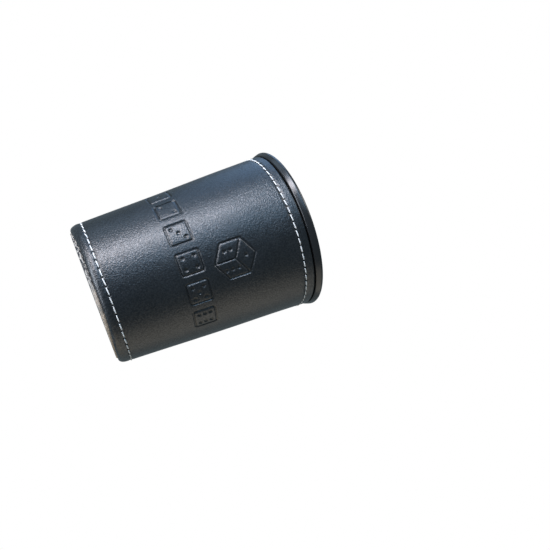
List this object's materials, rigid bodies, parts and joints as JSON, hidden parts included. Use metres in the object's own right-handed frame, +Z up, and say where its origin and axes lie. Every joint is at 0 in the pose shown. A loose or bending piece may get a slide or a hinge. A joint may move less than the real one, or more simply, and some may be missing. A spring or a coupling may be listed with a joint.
{
  "type": "leather dice cup",
  "caption": "Tapered leather dice cup with a rolled black lip, white edge stitching, blind-embossed dice motifs and a velvet lining, for shaking and rolling dice.",
  "frame": {"origin": "centre of the underside, on the surface that the cup stands on", "axes": "+Z up the cup's axis from the base to the mouth, -Y towards the embossed front, +Y towards the back seam"},
  "size_m": [0.0748, 0.0748, 0.093],
  "materials": {
    "leather": "fine pebble grain, semi-gloss",
    "thread": "twisted polyester",
    "board": "raw grey-brown board",
    "moulding": "satin black",
    "velvet": "short pile",
    "felt": "soft felt",
    "base_leather": "raw cut edge, worn"
  },
  "bodies": {
    "root": {"leather_wrap": "leather", "mouth_stitching": "thread", "base_stitching": "thread", "seam_stitching": "thread", "bobbin_threads": "thread", "backing_sleeve": "board", "inner_cup": "moulding", "side_lining": "velvet", "floor_lining": "velvet", "floor_pad": "felt", "base_board": "board", "base_disc": "base_leather"}
  },
  "joints": []
}
